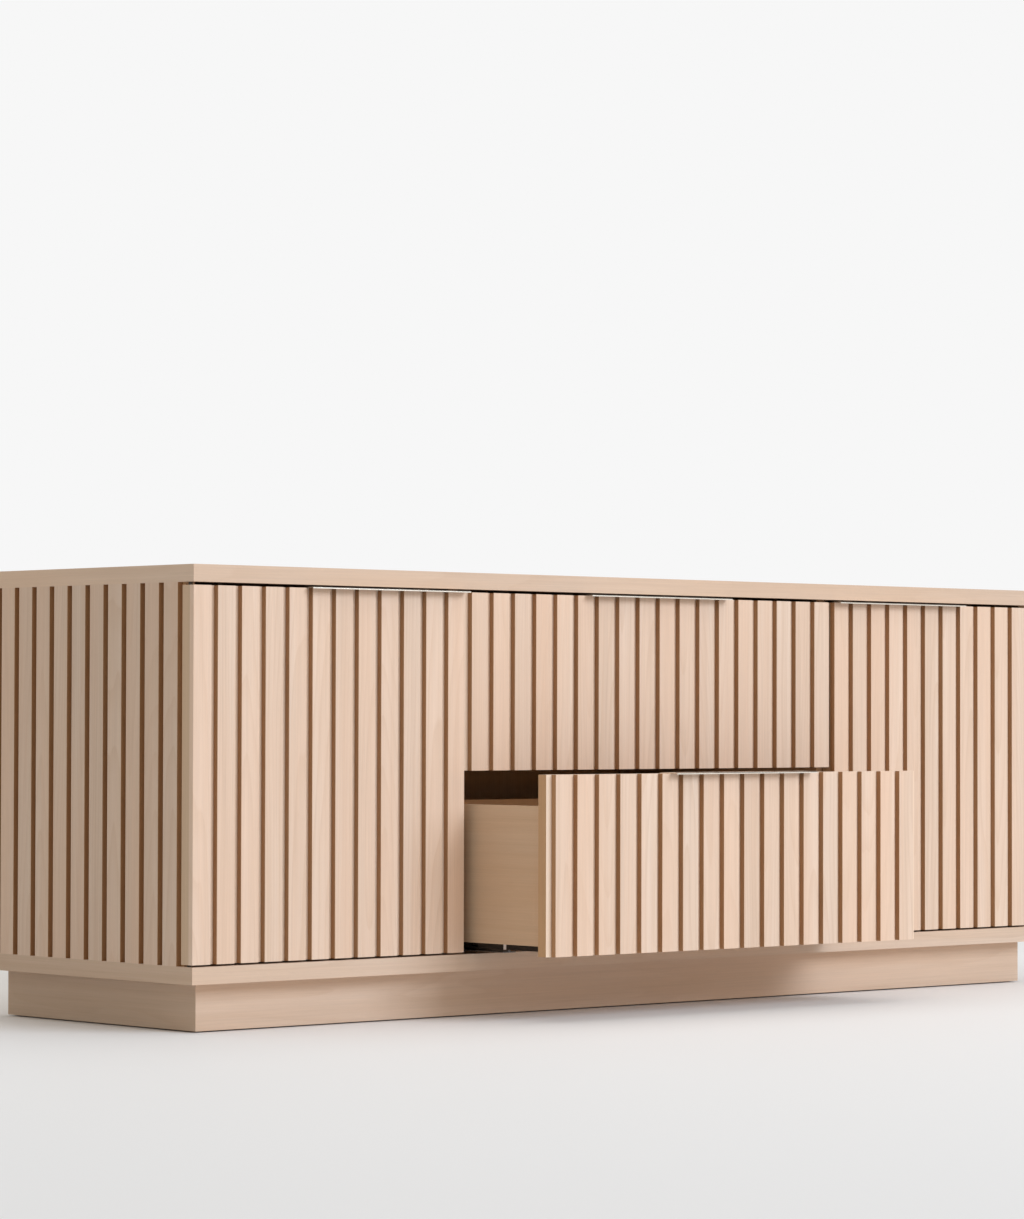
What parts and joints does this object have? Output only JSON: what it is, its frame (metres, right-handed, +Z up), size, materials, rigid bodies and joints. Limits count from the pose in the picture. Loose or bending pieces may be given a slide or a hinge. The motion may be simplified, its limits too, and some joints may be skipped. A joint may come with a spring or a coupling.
{
  "type": "media cabinet",
  "caption": "Long low wood media cabinet with slatted doors, drawer fronts and ends, plain top and bottom boards, recessed plinth and slim metal edge pulls.",
  "frame": {"origin": "on the floor, under the middle of the cabinet's closed body, ignoring the open drawer and the pulls", "axes": "+X along the cabinet to the right as seen from the front, +Y from the front to the back, +Z up; the doors and drawers face -Y"},
  "size_m": [1.829, 0.7075, 0.665],
  "materials": {
    "oak_panel": "satin lacquered oak, lengthwise grain",
    "oak_slat": "satin lacquered oak, upright grain",
    "oak_core": "satin lacquered oak veneer",
    "carcass_wood": "matt lacquered veneered board",
    "drawer_wood": "matt lacquered birch",
    "back_board": "matt veneered board",
    "dowel_wood": "raw beech",
    "pull_metal": "fine brushed nickel",
    "slide_steel": "zinc plated sheet",
    "screw_steel": "zinc plated",
    "pin_steel": "turned steel",
    "nylon": "dark nylon",
    "catch_plastic": "brown plastic"
  },
  "bodies": {
    "cabinet": {"top_panel": "oak_panel", "bottom_panel": "oak_panel", "left_side_core": "oak_core", "right_side_core": "oak_core", "left_side_slats": "oak_slat", "right_side_slats": "oak_slat", "left_divider": "carcass_wood", "right_divider": "carcass_wood", "back_panel_left": "back_board", "back_panel_centre": "back_board", "back_panel_right": "back_board", "carcass_dowels": "dowel_wood", "plinth_front": "oak_panel", "plinth_back": "oak_panel", "plinth_left_end": "oak_panel", "plinth_right_end": "oak_panel", "plinth_cross_rails": "carcass_wood", "plinth_corner_blocks": "carcass_wood", "plinth_screws": "screw_steel", "floor_glides": "nylon", "left_shelf": "carcass_wood", "right_shelf": "carcass_wood", "shelf_pins": "pin_steel", "door_pivot_pins": "pin_steel", "door_magnets": "catch_plastic", "slide_fixed_members": "slide_steel", "slide_screws": "screw_steel"},
    "left_door": {"left_door_core": "oak_core", "left_door_slats": "oak_slat", "left_door_pull": "pull_metal", "left_door_screws": "screw_steel", "left_door_pivot_bushes": "nylon", "left_door_strike_plate": "screw_steel"},
    "right_door": {"right_door_core": "oak_core", "right_door_slats": "oak_slat", "right_door_pull": "pull_metal", "right_door_screws": "screw_steel", "right_door_pivot_bushes": "nylon", "right_door_strike_plate": "screw_steel"},
    "upper_drawer": {"upper_drawer_front_core": "oak_core", "upper_drawer_slats": "oak_slat", "upper_drawer_pull": "pull_metal", "upper_drawer_screws": "screw_steel", "upper_drawer_box_sides": "drawer_wood", "upper_drawer_box_front": "drawer_wood", "upper_drawer_box_back": "drawer_wood", "upper_drawer_box_bottom": "drawer_wood", "upper_drawer_slide_runners": "slide_steel"},
    "upper_slide_middles": {"upper_slide_middles": "slide_steel"},
    "lower_drawer": {"lower_drawer_front_core": "oak_core", "lower_drawer_slats": "oak_slat", "lower_drawer_pull": "pull_metal", "lower_drawer_screws": "screw_steel", "lower_drawer_box_sides": "drawer_wood", "lower_drawer_box_front": "drawer_wood", "lower_drawer_box_back": "drawer_wood", "lower_drawer_box_bottom": "drawer_wood", "lower_drawer_slide_runners": "slide_steel"},
    "lower_slide_middles": {"lower_slide_middles": "slide_steel"}
  },
  "joints": [
    {"name": "left_door_hinge", "type": "hinge", "parent": "cabinet", "child": "left_door", "pos_m": [-0.9065, -0.2369, 0.36675], "axis": [0, 0, -1], "range_deg": [0, 110]},
    {"name": "right_door_hinge", "type": "hinge", "parent": "cabinet", "child": "right_door", "pos_m": [0.9065, -0.2369, 0.36675], "axis": [0, 0, 1], "range_deg": [0, 110]},
    {"name": "upper_drawer_slide", "type": "slide", "parent": "cabinet", "child": "upper_drawer", "axis": [0, -1, 0], "range_m": [0, 0.4]},
    {"name": "upper_slide_extension", "type": "slide", "parent": "cabinet", "child": "upper_slide_middles", "axis": [0, -1, 0], "range_m": [0, 0.2]},
    {"name": "lower_drawer_slide", "type": "slide", "parent": "cabinet", "child": "lower_drawer", "axis": [0, -1, 0], "range_m": [-0.185, 0.215]},
    {"name": "lower_slide_extension", "type": "slide", "parent": "cabinet", "child": "lower_slide_middles", "axis": [0, -1, 0], "range_m": [-0.0925, 0.1075]}
  ],
  "couplings": [
    {"joint": "upper_slide_extension", "follows": "upper_drawer_slide", "ratio": 0.5},
    {"joint": "lower_slide_extension", "follows": "lower_drawer_slide", "ratio": 0.5}
  ]
}
